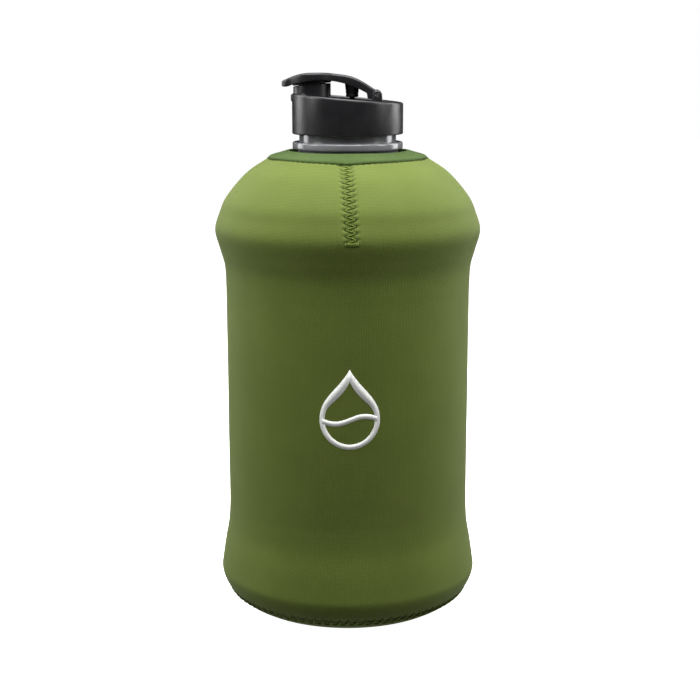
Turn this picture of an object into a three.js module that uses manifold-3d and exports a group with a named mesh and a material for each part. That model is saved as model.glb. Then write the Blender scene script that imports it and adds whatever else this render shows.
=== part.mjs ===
// Large water jug with a screw cap, a flip lid over its drinking spout and a neoprene sleeve.
// Millimetres, +Z up. The origin is the centre of the sleeve's base, on the surface it stands on.
// The spout is on the -X side, the lid's hinge on the +X side, the sleeve's dart faces -Y and the
// moulded grip is at the back, on +Y.
import * as THREE from "three";
import { mergeVertices } from "three/addons/utils/BufferGeometryUtils.js";
import Module from "manifold-3d";

const wasm = await Module();
wasm.setup();

// ---- driving dimensions ----

const ROUND = 40; // facets round every large circle
const SMALL_ROUND = 20; // facets round pins, holes and the spout
const GAP = 0.3; // clearance between pieces that rest on each other
const OVERRUN = 10; // how far a cutting shape reaches past what it cuts

const SLEEVE_THICKNESS = 3;
const WAIST_RADIUS = 60;
const FLAT_RADIUS = 46.4; // the flat the jug stands on
const BULGE_RADIUS = 64.4; // widest ring of the base
const BULGE_HEIGHT = 17.8;
const CORNER_POWER = 1.75; // superellipse of the base corner, 2 is a true ellipse
const BASE_SEAM_TURN = 0.7; // where the base panel meets the wall, in radians round the corner
const SEAM_TURN_GAP = 0.02; // half of the clearance there

// The sleeve's outside from the base bulge to the waist, and from the waist to the neck: [r, z].
const LOWER_FLANK = [[BULGE_RADIUS, BULGE_HEIGHT], [62.6, 30], [60.7, 41], [WAIST_RADIUS, 52]];
const UPPER_FLANK = [
  [WAIST_RADIUS, 160],
  [60.6, 172],
  [62.7, 180],
  [65, 189.5],
  [62.6, 198],
  [60, 204],
  [49.7, 216],
  [38.4, 223.2],
];

const BOTTLE = {
  wall: 1.6,
  pushUp: 7, // how far the middle of its floor is domed up
  domeRadius: 22, // where the dome has come down by domeDrop of that
  domeDrop: 0.3,
  footRadius: 38, // the ring it stands on
  shoulder: [[31, 222.6], [26.4, 224.2]], // [r, z] from the flank to the neck, outside
  shoulderBore: [[29.8, 221], [24, 222.8]], // and inside
};

const GRIP = {
  width: 72, // the pocket behind the grip, seen from the back
  bottom: 72,
  top: 168,
  cornerRadius: 30,
  floor: 14, // Y of the pocket's floor
  floorRadius: 8,
  barWidth: 20,
  barDepth: 16,
  barCentre: 46.4, // Y of the bar's axis
  socket: 6, // how deep each end of the bar sits in the bottle
};
const SLOT_MARGIN = 7; // how far the sleeve stands back from the pocket, all round
const SLOT_TAPE = 4; // width of the tape that binds the slot

const NECK = {
  radius: 23.5,
  bore: 21.6,
  root: 24.6,
  rootTop: 225.6,
  boreBottom: 224.6,
  ringRadius: 26.8,
  ringBevel: 0.4,
  ringBottom: 228.1,
  ringTop: 231.6,
  rim: 246.4,
};
const THREAD = { pitch: 5, start: 239, turns: 1, height: 1.8, crest: 24.9, capCrest: 23.95 };

const CAP = {
  radius: 26.9,
  bore: 25.25,
  bottom: 235.3,
  ledge: 248.2, // the gasket's seat
  recess: 20,
  deck: 2.2, // thickness of the sloping top
  bevel: 0.8,
};
const GASKET = { inner: 20.8, outer: 24.4, thickness: 1.2 };
const SPOUT = { x: -17.2, radius: 9.05, bore: 7.2, floor: 250.7, rim: 258.7, slope: 0.09 };
const LIP = { radius: 10, low: 251.2, high: 254.4, reach: -20 };
const VENT = { x: 2.2, hole: 1.8, boss: 3.1, flare: 0.5, stem: 1.3, foot: 2.2, seat: 0.6 };
const HINGE = { x: 14.2, z: 254, radius: 2.3, pin: 1, hole: 1.15, halfLid: 7.7, halfEars: 10.8 };
const LID = {
  centreX: -13, // centre of the arch's two arcs
  centreZ: 217.4,
  outer: 47.2,
  inner: 43.9,
  tip: -31.7,
  tipLow: 257.8,
  tipLength: 5, // from the tip to where the underside joins the inner arc
  legX: 9.5, // the spout side of the leg that comes down to the hinge
  tabHalf: 6.5,
  coverRadius: 11.2,
};
const SKIRT = { outer: 9.3, inner: 7.3 }; // the ring under the lid that meets the spout's rim
const PLUG = { top: 6.5, bottom: 6.1, low: 255.9 };

const STITCH = { width: 0.5, thickness: 0.5 };
const DART = { top: 221.6, bottom: 190, halfWidth: 2.2, periods: 12, lean: 2.4 };
const PRINT = { x: 1, z: 112, height: 38, radius: 14, stroke: 2.4, wave: 1.8, thickness: 0.3 };

// Height of the cap's sloping top at x.
const deckAt = (x) => 252.5 - (x * 4.2) / 50.4;
// Height of the spout's rim at x: it leans the other way, along the lid.
const rimAt = (x) => SPOUT.rim + SPOUT.slope * (x - SPOUT.x);

// ---- helpers ----

// A closed mesh as a manifold-3d solid that faces out.
function toSolid(geometry) {
  const loose = geometry.index ? geometry.toNonIndexed() : geometry.clone();
  for (const name of Object.keys(loose.attributes)) {
    if (name !== "position") loose.deleteAttribute(name);
  }
  const merged = mergeVertices(loose, 1e-4);
  const corners = merged.index.array;
  const triangles = [];
  for (let i = 0; i < corners.length; i += 3) {
    const [a, b, c] = corners.slice(i, i + 3);
    if (a !== b && b !== c && c !== a) triangles.push([a, b, c]);
  }
  const vertices = merged.attributes.position.array;
  const at = (i) => new THREE.Vector3().fromArray(vertices, 3 * i);
  let volume = 0;
  for (const [a, b, c] of triangles) volume += at(a).dot(at(b).cross(at(c)));
  const faces = volume > 0 ? triangles : triangles.map(([a, b, c]) => [a, c, b]);
  const triVerts = new Uint32Array(faces.flat());
  return new wasm.Manifold(new wasm.Mesh({ numProp: 3, vertProperties: vertices, triVerts }));
}

// A closed outline of [r, z] points turned round the Z axis through x.
function revolve(outline, { x = 0, segments = ROUND } = {}) {
  const points = outline.map(([r, z]) => new THREE.Vector2(r, z));
  points.push(points[0].clone());
  const geometry = new THREE.LatheGeometry(points, segments);
  return toSolid(geometry.rotateX(Math.PI / 2).translate(x, 0, 0));
}

const disc = (radius, low, high, options) =>
  revolve([[0, low], [radius, low], [radius, high], [0, high]], options);

// A closed body through equal rows of [x, y, z] corners, or a ring of rows when closed.
function skin(rows, closed = false) {
  const across = rows[0].length;
  const count = rows.length;
  const index = [];
  for (let i = 0; i < (closed ? count : count - 1); i++) {
    const here = i * across;
    const next = ((i + 1) % count) * across;
    for (let j = 0; j < across; j++) {
      const k = (j + 1) % across;
      index.push(here + j, here + k, next + k, here + j, next + k, next + j);
    }
  }
  const last = (count - 1) * across;
  for (let j = 1; j < across - 1 && !closed; j++) {
    index.push(0, j + 1, j, last, last + j, last + j + 1);
  }
  const geometry = new THREE.BufferGeometry();
  geometry.setAttribute("position", new THREE.Float32BufferAttribute(rows.flat(2), 3));
  geometry.setIndex(index);
  return toSolid(geometry);
}

// A flat shape drawn in X and Z, extruded along Y from y0 to y1.
function extrudeY(shape, y0, y1, options = {}) {
  const settings = { depth: y1 - y0, bevelEnabled: false, curveSegments: 12, ...options };
  const geometry = new THREE.ExtrudeGeometry(shape, settings);
  return toSolid(geometry.rotateX(Math.PI / 2).translate(0, y1, 0));
}

// A flat shape drawn in X and Y, extruded along Z.
function extrudeZ(shape, z0, z1) {
  const settings = { depth: z1 - z0, bevelEnabled: false, curveSegments: 12 };
  return toSolid(new THREE.ExtrudeGeometry(shape, settings).translate(0, 0, z0));
}

// A cylinder along Y through (x, z).
function rodY(radius, x, z, y0, y1, segments = SMALL_ROUND) {
  const geometry = new THREE.CylinderGeometry(radius, radius, y1 - y0, segments);
  return toSolid(geometry.translate(x, (y0 + y1) / 2, z));
}

function roundedRectangle(x0, z0, x1, z1, radius) {
  const shape = new THREE.Shape();
  shape.moveTo(x0 + radius, z0);
  shape.lineTo(x1 - radius, z0);
  shape.absarc(x1 - radius, z0 + radius, radius, -Math.PI / 2, 0);
  shape.absarc(x1 - radius, z1 - radius, radius, 0, Math.PI / 2);
  shape.absarc(x0 + radius, z1 - radius, radius, Math.PI / 2, Math.PI);
  shape.absarc(x0 + radius, z0 + radius, radius, Math.PI, Math.PI * 1.5);
  return shape;
}

const box = (x0, x1, y0, y1, z0, z1) =>
  toSolid(
    new THREE.BoxGeometry(x1 - x0, y1 - y0, z1 - z0).translate(
      (x0 + x1) / 2,
      (y0 + y1) / 2,
      (z0 + z1) / 2,
    ),
  );

// A smooth curve through [r, z] points, as count + 1 points equally spaced along it.
function smooth(points, count) {
  const knots = points.map(([r, z]) => new THREE.Vector3(r, z, 0));
  const curve = new THREE.CatmullRomCurve3(knots, false, "centripetal");
  return curve.getSpacedPoints(count).map((p) => [p.x, p.y]);
}

// The outline moved inwards by a distance. It runs upwards, so inwards is on its left.
function inset(outline, distance) {
  return outline.map(([r, z], i) => {
    const [r0, z0] = outline[Math.max(i - 1, 0)];
    const [r1, z1] = outline[Math.min(i + 1, outline.length - 1)];
    const length = Math.hypot(r1 - r0, z1 - z0);
    return [r - ((z1 - z0) / length) * distance, z + ((r1 - r0) / length) * distance];
  });
}

// ---- outlines of the sleeve ----

// The superellipse of the base corner, from turn a to turn b; turn 0 is the bulge.
function baseCorner(a, b, count) {
  const power = 2 / CORNER_POWER;
  return Array.from({ length: count + 1 }, (_, i) => {
    const turn = Math.max(0, a + ((b - a) * i) / count);
    return [
      FLAT_RADIUS + (BULGE_RADIUS - FLAT_RADIUS) * Math.cos(turn) ** power,
      BULGE_HEIGHT * (1 - Math.sin(turn) ** power),
    ];
  });
}

const baseOutline = baseCorner(Math.PI / 2, BASE_SEAM_TURN + SEAM_TURN_GAP, 4);
const cornerOutline = baseCorner(BASE_SEAM_TURN - SEAM_TURN_GAP, 0, 3);
const flankOutline = [...smooth(LOWER_FLANK, 3).slice(1), ...smooth(UPPER_FLANK, 11)];
const sleeveOutside = [...baseOutline, ...cornerOutline, ...flankOutline];
const sleeveInside = inset(sleeveOutside, SLEEVE_THICKNESS);
const seamIndex = baseOutline.length;

// ---- bottle ----

const bottleFlank = inset(sleeveOutside, SLEEVE_THICKNESS + GAP).slice(1, -1);

// The domed floor, from its middle to a radius at height z: [r, z].
const domedFloor = (radius, z) => [
  [0, z + BOTTLE.pushUp],
  [BOTTLE.domeRadius, z + BOTTLE.pushUp * (1 - BOTTLE.domeDrop)],
  [radius, z],
];

function bottleOutside() {
  const { ringRadius, ringBevel, ringBottom, ringTop } = NECK;
  return revolve([
    ...domedFloor(BOTTLE.footRadius, SLEEVE_THICKNESS + GAP),
    ...bottleFlank,
    ...BOTTLE.shoulder,
    [NECK.root, NECK.rootTop],
    [NECK.root, ringBottom],
    [ringRadius - ringBevel, ringBottom],
    [ringRadius, ringBottom + ringBevel],
    [ringRadius, ringTop - ringBevel],
    [ringRadius - ringBevel, ringTop],
    [NECK.radius, NECK.ringTop],
    [NECK.radius, NECK.rim],
    [0, NECK.rim],
  ]);
}

function bottleInside() {
  const above = NECK.rim + OVERRUN;
  return revolve([
    ...domedFloor(BOTTLE.footRadius - 1, SLEEVE_THICKNESS + GAP + BOTTLE.wall),
    ...inset(bottleFlank, BOTTLE.wall).filter((_, i) => i % 2),
    ...BOTTLE.shoulderBore,
    [NECK.bore, NECK.boreBottom],
    [NECK.bore, above],
    [0, above],
  ]);
}

// The pocket behind the grip, grown by a margin; its floor has a rounded edge.
function pocket(margin) {
  const half = GRIP.width / 2 + margin;
  const round = GRIP.floorRadius;
  const outline = roundedRectangle(
    -half,
    GRIP.bottom - margin,
    half,
    GRIP.top + margin,
    GRIP.cornerRadius + margin,
  );
  const bevel = {
    bevelEnabled: true,
    bevelThickness: round,
    bevelSize: round,
    bevelOffset: -round,
    bevelSegments: 4,
    curveSegments: 8,
  };
  return extrudeY(outline, GRIP.floor - margin + round, WAIST_RADIUS + OVERRUN, bevel);
}

// The grip: an upright bar of oval section, grown by a margin all round.
function gripBar(margin) {
  const oval = new THREE.Shape();
  const halfX = GRIP.barWidth / 2 + margin;
  const halfY = GRIP.barDepth / 2 + margin;
  oval.absellipse(0, GRIP.barCentre, halfX, halfY, 0, Math.PI * 2);
  const overrun = GRIP.socket + margin;
  return extrudeZ(oval, GRIP.bottom - overrun, GRIP.top + overrun);
}

// A helical ridge. Its crest sinks into the root over both ends.
function threadRidge(root, crest, start) {
  const steps = ROUND * THREAD.turns;
  const rampSteps = 4;
  const rows = [];
  for (let i = 0; i <= steps; i++) {
    const turn = (i / ROUND) * Math.PI * 2;
    const z = start + (THREAD.pitch * i) / ROUND;
    const rise = Math.min(1, (Math.min(i, steps - i) + 0.5) / rampSteps);
    const tip = root + (crest - root) * rise;
    const half = THREAD.height / 2;
    const section = [[root, -half], [tip, -half / 2], [tip, half / 2], [root, half]];
    rows.push(section.map(([r, dz]) => [r * Math.cos(turn), r * Math.sin(turn), z + dz]));
  }
  return skin(rows);
}

function makeBottle() {
  const recess = pocket(0).add(gripBar(GAP));
  const lining = pocket(BOTTLE.wall).add(gripBar(GAP + BOTTLE.wall));
  const thread = threadRidge(NECK.radius - 0.4, THREAD.crest, THREAD.start);
  const solid = bottleOutside().subtract(recess).add(thread);
  return solid.subtract(bottleInside().subtract(lining));
}

// ---- sleeve ----

// The slot for the grip, through the back of the sleeve.
function slot(margin) {
  const half = GRIP.width / 2 + margin;
  const outline = roundedRectangle(
    -half,
    GRIP.bottom - margin,
    half,
    GRIP.top + margin,
    GRIP.cornerRadius + margin,
  );
  return extrudeY(outline, 0, BULGE_RADIUS + OVERRUN, { curveSegments: 8 });
}

const makeSleeveWall = () =>
  revolve([...sleeveOutside.slice(seamIndex), ...sleeveInside.slice(seamIndex).reverse()]).subtract(
    slot(SLOT_MARGIN),
  );

const makeSleeveBase = () =>
  revolve([
    [0, 0],
    ...sleeveOutside.slice(0, seamIndex),
    ...sleeveInside.slice(0, seamIndex).reverse(),
    [0, SLEEVE_THICKNESS],
  ]);

// The folded tape round the neck opening: it covers the sleeve's top edge and lies on the bottle.
function makeNeckBinding() {
  const [seamR, seamZ] = UPPER_FLANK.at(-1);
  return revolve([
    [seamR - 0.3, seamZ + 0.4],
    [seamR - 4, seamZ + 2.6],
    [seamR - 9.4, seamZ + 4.3],
    [seamR - 9.8, seamZ + 3],
    [seamR - 8.8, seamZ + 2],
    [seamR - 4.8, seamZ + 0.4],
    [seamR - 2, seamZ - 1.8],
  ]);
}

// The tape round the grip slot: a frame that stands a little proud of the sleeve wall.
function makeSlotBinding() {
  const outside = inset(sleeveOutside, -0.5).slice(seamIndex);
  const inside = sleeveInside.slice(seamIndex).reverse();
  const frame = slot(SLOT_MARGIN - GAP).subtract(slot(SLOT_MARGIN - SLOT_TAPE));
  return revolve([...outside, ...inside]).intersect(frame);
}

// ---- stitching and print ----

// Outline point and outward normal of the sleeve at height z: [r, z, nr, nz].
function sleeveAt(z) {
  const outline = sleeveOutside;
  const i = outline.findIndex(([, zi]) => zi >= z && zi > 0);
  const [r0, z0] = outline[i - 1];
  const [r1, z1] = outline[i];
  const part = (z - z0) / (z1 - z0);
  const length = Math.hypot(r1 - r0, z1 - z0);
  return [r0 + (r1 - r0) * part, z, (z1 - z0) / length, (r0 - r1) / length];
}

// One corner of a zigzag thread. place(across, lift) gives a point beside the seam's centre line;
// the thread is mitred at each turn, so it keeps its width on every leg.
function stitchRow(place, side, halfWidth, step) {
  const mitre = (STITCH.width / 2) * Math.hypot(2 * halfWidth, step) / step;
  const low = GAP + 0.05;
  const high = low + STITCH.thickness;
  const left = side * halfWidth - mitre;
  const right = side * halfWidth + mitre;
  return [place(left, low), place(right, low), place(right, high), place(left, high)];
}

// A zigzag seam up the sleeve at an angle round the jug, between two heights.
function uprightSeam({ angle, bottom, top, halfWidth, periods, lean = 0 }) {
  const legs = periods * 2;
  const step = (top - bottom) / legs;
  const [ux, uy] = [Math.cos(angle), Math.sin(angle)];
  const rows = [];
  for (let i = 0; i <= legs; i++) {
    const [r, z, nr, nz] = sleeveAt(bottom + i * step);
    const drift = lean * (1 - i / legs);
    const place = (across, lift) => {
      const reach = r + nr * lift;
      const side = across + drift;
      return [reach * ux - side * uy, reach * uy + side * ux, z + nz * lift];
    };
    rows.push(stitchRow(place, i % 2 ? 1 : -1, halfWidth, step));
  }
  return skin(rows);
}

// The zigzag seam all round the base corner.
function makeBaseSeam() {
  const periods = 72;
  const halfTurn = 0.11; // half of the seam's width, in radians of the base corner
  const centre = (Math.cos(BASE_SEAM_TURN) ** (2 / CORNER_POWER)) * (BULGE_RADIUS - FLAT_RADIUS);
  const step = (Math.PI * (FLAT_RADIUS + centre)) / periods;
  const halfWidth = halfTurn * BULGE_HEIGHT;
  const rows = [];
  for (let i = 0; i < periods * 2; i++) {
    const angle = (i * Math.PI) / periods;
    const place = (across, lift) => {
      const turn = BASE_SEAM_TURN + across / BULGE_HEIGHT;
      const [[r, z], [r1, z1]] = baseCorner(turn, turn - 0.01, 1);
      const length = Math.hypot(r1 - r, z1 - z);
      const reach = r + ((z1 - z) / length) * lift;
      const drop = ((r1 - r) / length) * lift;
      return [reach * Math.cos(angle), reach * Math.sin(angle), z - drop];
    };
    rows.push(stitchRow(place, i % 2 ? 1 : -1, halfWidth, step));
  }
  return skin(rows, true);
}

// A water drop half full, as one film: the drop's outline with a wave across it.
function makePrint() {
  const { x, z, height, radius, stroke, thickness } = PRINT;
  const dropShape = (shrink) => {
    const r = radius - shrink;
    const centre = z - height / 2 + radius;
    const tip = z + height / 2 - shrink * 2.4;
    const shape = new THREE.Shape();
    shape.moveTo(x, tip);
    shape.bezierCurveTo(x - r * 0.45, tip - height * 0.28, x - r, centre + r * 0.75, x - r, centre);
    shape.absarc(x, centre, r, Math.PI, Math.PI * 2, false);
    shape.bezierCurveTo(x + r, centre + r * 0.75, x + r * 0.45, tip - height * 0.28, x, tip);
    return shape;
  };
  const depth = [-WAIST_RADIUS - OVERRUN, -WAIST_RADIUS + OVERRUN];
  const outer = extrudeY(dropShape(0), ...depth);
  const ring = outer.subtract(extrudeY(dropShape(stroke), ...depth));
  const level = z - height / 2 + radius;
  const wave = new THREE.Shape();
  const sway = (u) => level + Math.sin((u / radius) * Math.PI) * PRINT.wave;
  const steps = 16;
  for (let i = 0; i <= steps; i++) {
    const u = -radius + (2 * radius * i) / steps;
    wave[i ? "lineTo" : "moveTo"](x + u, sway(u) - stroke / 2);
  }
  for (let i = steps; i >= 0; i--) {
    const u = -radius + (2 * radius * i) / steps;
    wave.lineTo(x + u, sway(u) + stroke / 2);
  }
  const band = extrudeY(wave, ...depth).intersect(outer);
  const low = WAIST_RADIUS + GAP;
  const film = revolve([
    [low, z - height],
    [low + thickness, z - height],
    [low + thickness, z + height],
    [low, z + height],
  ]);
  return ring.add(band).intersect(film);
}

// ---- cap ----

// A level ring of points at height z, and one that follows the cap's sloping top, less a drop.
const ringAt = (radius, heightAt) =>
  Array.from({ length: ROUND }, (_, i) => {
    const angle = (i / ROUND) * Math.PI * 2;
    const x = radius * Math.cos(angle);
    return [x, radius * Math.sin(angle), heightAt(x)];
  });
const levelRing = (radius, z) => ringAt(radius, () => z);
const deckRing = (radius, drop) => ringAt(radius, (x) => deckAt(x) - drop);

// The block above the spout's sloping rim, raised by a gap.
function aboveSpout(gap) {
  const reach = SPOUT.radius + 2;
  const [left, right] = [SPOUT.x - reach, SPOUT.x + reach];
  const shape = new THREE.Shape();
  shape.moveTo(left, rimAt(left) + gap);
  shape.lineTo(right, rimAt(right) + gap);
  shape.lineTo(right, SPOUT.rim + OVERRUN);
  shape.lineTo(left, SPOUT.rim + OVERRUN);
  return extrudeY(shape, -reach, reach);
}

function makeCap() {
  const body = skin([
    levelRing(CAP.radius - 0.4, CAP.bottom),
    levelRing(CAP.radius, CAP.bottom + 0.6),
    deckRing(CAP.radius, CAP.bevel),
    deckRing(CAP.radius - CAP.bevel, 0),
  ]);
  const bore = disc(CAP.bore, CAP.bottom - 1, CAP.ledge);
  const recess = skin([levelRing(CAP.recess, CAP.bottom - 1), deckRing(CAP.recess, CAP.deck)]);
  const thread = threadRidge(CAP.bore + 0.4, THREAD.capCrest, THREAD.start - THREAD.pitch / 2);
  const at = { x: SPOUT.x, segments: SMALL_ROUND };
  const tube = disc(SPOUT.radius, SPOUT.floor, SPOUT.rim + 2, at);
  const aboveRim = aboveSpout(0);
  const lipHalf = LIP.radius + 1;
  const lip = disc(LIP.radius, LIP.low, LIP.high, { ...at, segments: ROUND }).intersect(
    box(SPOUT.x - lipHalf, LIP.reach, -lipHalf, lipHalf, LIP.low - 1, LIP.high + 1),
  );
  const spoutBore = disc(SPOUT.bore, SPOUT.floor, SPOUT.rim + OVERRUN, at);
  const vent = disc(VENT.hole, CAP.ledge, CAP.ledge + OVERRUN, { ...at, x: VENT.x });
  let cap = body.subtract(bore).subtract(recess).add(thread);
  cap = cap.add(tube.subtract(aboveRim)).add(lip).subtract(spoutBore).subtract(vent);
  for (const side of [-1, 1]) cap = cap.add(hingeEar(side));
  return cap.subtract(hingeHole());
}

const hingeHole = () => rodY(HINGE.hole, HINGE.x, HINGE.z, -HINGE.halfEars - 1, HINGE.halfEars + 1);

// One ear of the hinge, on side -1 or 1 of the lid's knuckle.
function hingeEar(side) {
  const near = HINGE.halfLid + GAP;
  const [y0, y1] = side < 0 ? [-HINGE.halfEars, -near] : [near, HINGE.halfEars];
  const shape = new THREE.Shape();
  shape.moveTo(HINGE.x - HINGE.radius - 0.2, CAP.ledge + 1.5);
  shape.lineTo(HINGE.x + HINGE.radius + 0.2, CAP.ledge + 1.5);
  shape.lineTo(HINGE.x + HINGE.radius, HINGE.z);
  shape.absarc(HINGE.x, HINGE.z, HINGE.radius, 0, Math.PI);
  return extrudeY(shape, y0, y1, { curveSegments: 10 });
}

const makeHingePin = () =>
  rodY(HINGE.pin, HINGE.x, HINGE.z, -HINGE.halfEars + GAP, HINGE.halfEars - GAP);

function makeGasket() {
  const low = NECK.rim + GAP;
  return revolve([
    [GASKET.inner, low],
    [GASKET.outer, low],
    [GASKET.outer, low + GASKET.thickness],
    [GASKET.inner, low + GASKET.thickness],
  ]);
}

// ---- lid ----

// Height of one of the lid's arcs at x.
const arcAt = (radius, x) => LID.centreZ + Math.sqrt(radius ** 2 - (x - LID.centreX) ** 2);
const arcAngle = (radius, x) => Math.atan2(arcAt(radius, x) - LID.centreZ, x - LID.centreX);

// The arch from the side: a band between two arcs, from the tip to the hinge's knuckle.
function lidArch() {
  const { centreX, centreZ, outer, inner, tip, tipLow, tipLength, legX } = LID;
  const legZ = deckAt(legX) + GAP + 0.1;
  const shape = new THREE.Shape();
  shape.moveTo(tip, tipLow + 0.8);
  shape.lineTo(tip + 0.8, tipLow);
  const [a0, a1] = [arcAngle(inner, tip + tipLength), arcAngle(inner, legX)];
  shape.absarc(centreX, centreZ, inner, a0, a1, true);
  shape.lineTo(legX, legZ);
  shape.lineTo(HINGE.x - 1.6, HINGE.z - HINGE.radius + 0.35);
  shape.absarc(HINGE.x, HINGE.z, HINGE.radius, -Math.PI * 0.6, Math.PI * 0.45, false);
  const [b0, b1] = [arcAngle(outer, HINGE.x - 0.6), arcAngle(outer, tip + 0.6)];
  shape.absarc(centreX, centreZ, outer, b0, b1, false);
  return extrudeY(shape, -LID.coverRadius - 1, LID.coverRadius + 1, { curveSegments: 16 });
}

// The lid seen from above: a thumb tab, a round cover over the spout and a strap to the hinge.
function lidPlan() {
  const low = HINGE.z - 4;
  const high = LID.centreZ + LID.outer + 1;
  const cover = disc(LID.coverRadius, low, high, { x: SPOUT.x, segments: ROUND });
  const strap = box(SPOUT.x, HINGE.x + 4, -HINGE.halfLid, HINGE.halfLid, low, high);
  const tab = new THREE.Shape();
  const round = LID.tabHalf * 0.6;
  tab.moveTo(SPOUT.x, -LID.tabHalf);
  tab.lineTo(SPOUT.x, LID.tabHalf);
  tab.lineTo(LID.tip + round, LID.tabHalf);
  tab.absarc(LID.tip + round, LID.tabHalf - round, round, Math.PI / 2, Math.PI, false);
  tab.absarc(LID.tip + round, round - LID.tabHalf, round, Math.PI, Math.PI * 1.5, false);
  return cover.add(strap).add(extrudeZ(tab, low, high));
}

// The peg under the lid that carries the vent plug; it is wider at its root.
function ventPeg() {
  const top = arcAt(LID.inner, VENT.x) + 1;
  const low = deckAt(VENT.x) + VENT.foot;
  const outline = [
    [0, low],
    [VENT.boss, low],
    [VENT.boss + VENT.flare, top],
    [0, top],
  ];
  return revolve(outline, { x: VENT.x, segments: SMALL_ROUND });
}

// The ring under the lid, from just over the spout's rim up into the arch.
function lidSkirt() {
  const top = arcAt(LID.inner, SPOUT.x) + 1;
  const outline = [
    [SKIRT.inner, SPOUT.floor],
    [SKIRT.outer, SPOUT.floor],
    [SKIRT.outer, top],
    [SKIRT.inner, top],
  ];
  return revolve(outline, { x: SPOUT.x, segments: SMALL_ROUND }).intersect(aboveSpout(GAP));
}

function makeLid() {
  const lid = lidArch().intersect(lidPlan()).add(ventPeg()).add(lidSkirt());
  return lid.subtract(hingeHole());
}

// The solid under the lid's inner arc, less a gap: seals are trimmed with it to fit the lid.
function underLid() {
  const { centreX, centreZ, inner, tip, coverRadius } = LID;
  const radius = inner - GAP;
  const shape = new THREE.Shape();
  shape.moveTo(tip, centreZ);
  shape.lineTo(0, centreZ);
  shape.absarc(centreX, centreZ, radius, arcAngle(radius, 0), arcAngle(radius, tip), false);
  return extrudeY(shape, -coverRadius, coverRadius, { curveSegments: 20 });
}

function makeSpoutPlug() {
  const at = { x: SPOUT.x, segments: SMALL_ROUND };
  const top = LID.centreZ + LID.inner;
  const plug = revolve([[0, PLUG.low], [PLUG.bottom, PLUG.low], [PLUG.top, top], [0, top]], at);
  return plug.intersect(underLid());
}

function makeVentPlug() {
  const high = deckAt(VENT.x) + VENT.foot - GAP;
  const seat = deckAt(VENT.x) + VENT.seat;
  const low = deckAt(VENT.x) - CAP.deck;
  const outline = [
    [0, low],
    [VENT.stem, low],
    [VENT.stem, seat],
    [VENT.boss, seat],
    [VENT.boss, high],
    [0, high],
  ];
  return revolve(outline, { x: VENT.x, segments: SMALL_ROUND });
}

// ---- assembly ----

const finish = (color, roughness, metalness = 0, extra = {}) =>
  new THREE.MeshStandardMaterial({ color, roughness, metalness, ...extra });

const neoprene = finish("#55682f", 0.9);
const tape = finish("#5f8a45", 0.8);
const thread = finish("#4a5c26", 0.7);
const film = finish("#f2f3f0", 0.5);
const smokePlastic = finish("#4a4c50", 0.15, 0, { transparent: true, opacity: 0.6 });
const blackPlastic = finish("#2a2b2d", 0.4);
const silicone = finish("#1d1e20", 0.6);
const steel = finish("#9a9c9e", 0.35, 1);

function piece(name, solid, material) {
  const { vertProperties, triVerts } = solid.getMesh();
  const geometry = new THREE.BufferGeometry();
  geometry.setAttribute("position", new THREE.BufferAttribute(new Float32Array(vertProperties), 3));
  geometry.setIndex(new THREE.BufferAttribute(new Uint32Array(triVerts), 1));
  geometry.computeVertexNormals();
  const mesh = new THREE.Mesh(geometry, material);
  mesh.name = name;
  return mesh;
}

const BACK = Math.PI / 2;
const FRONT = -Math.PI / 2;
const slotEdge = SLOT_MARGIN + 3;
const backSeam = { angle: BACK, halfWidth: DART.halfWidth };
const upperSeam = { ...backSeam, bottom: GRIP.top + slotEdge, top: DART.top, periods: 13 };
const lowerSeam = { ...backSeam, bottom: 14, top: GRIP.bottom - slotEdge, periods: 14 };

const sleeve = new THREE.Group();
sleeve.add(
  piece("sleeve_wall", makeSleeveWall(), neoprene),
  piece("sleeve_base", makeSleeveBase(), neoprene),
  piece("neck_binding", makeNeckBinding(), tape),
  piece("handle_slot_binding", makeSlotBinding(), tape),
  piece("dart_stitching", uprightSeam({ angle: FRONT, ...DART }), thread),
  piece("base_seam_stitching", makeBaseSeam(), thread),
  piece("back_seam_stitching_upper", uprightSeam(upperSeam), thread),
  piece("back_seam_stitching_lower", uprightSeam(lowerSeam), thread),
  piece("front_print", makePrint(), film),
);

const lid = new THREE.Group();
lid.add(
  piece("flip_lid", makeLid(), blackPlastic),
  piece("spout_plug", makeSpoutPlug(), silicone),
  piece("vent_plug", makeVentPlug(), silicone),
);

const cap = new THREE.Group();
cap.add(
  piece("screw_cap", makeCap(), blackPlastic),
  piece("cap_gasket", makeGasket(), silicone),
  piece("hinge_pin", makeHingePin(), steel),
  lid,
);

const jug = new THREE.Group();
jug.add(
  piece("bottle", makeBottle(), smokePlastic),
  piece("grip_handle", gripBar(0), blackPlastic),
  sleeve,
  cap,
);

export default jug;
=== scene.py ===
"""Large water jug in a neoprene sleeve: the looks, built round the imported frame.

Metres, +Z up. The front with the print faces -Y, the spout is on -X and the lid's hinge on +X.
Lengths inside the shape functions are in millimetres and are scaled once, by MM.
"""
import math

import bmesh
import bpy
import numpy as np
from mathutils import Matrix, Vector


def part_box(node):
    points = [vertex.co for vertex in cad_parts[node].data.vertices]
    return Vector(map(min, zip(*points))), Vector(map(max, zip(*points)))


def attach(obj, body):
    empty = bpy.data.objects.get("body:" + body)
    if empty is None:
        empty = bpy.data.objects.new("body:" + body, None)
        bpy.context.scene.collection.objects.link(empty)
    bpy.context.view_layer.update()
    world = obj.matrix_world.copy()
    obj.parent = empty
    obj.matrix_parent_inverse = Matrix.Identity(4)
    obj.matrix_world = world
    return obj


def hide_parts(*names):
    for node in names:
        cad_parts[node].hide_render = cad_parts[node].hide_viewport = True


MM = 0.001
TAU = 2 * math.pi

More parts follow.
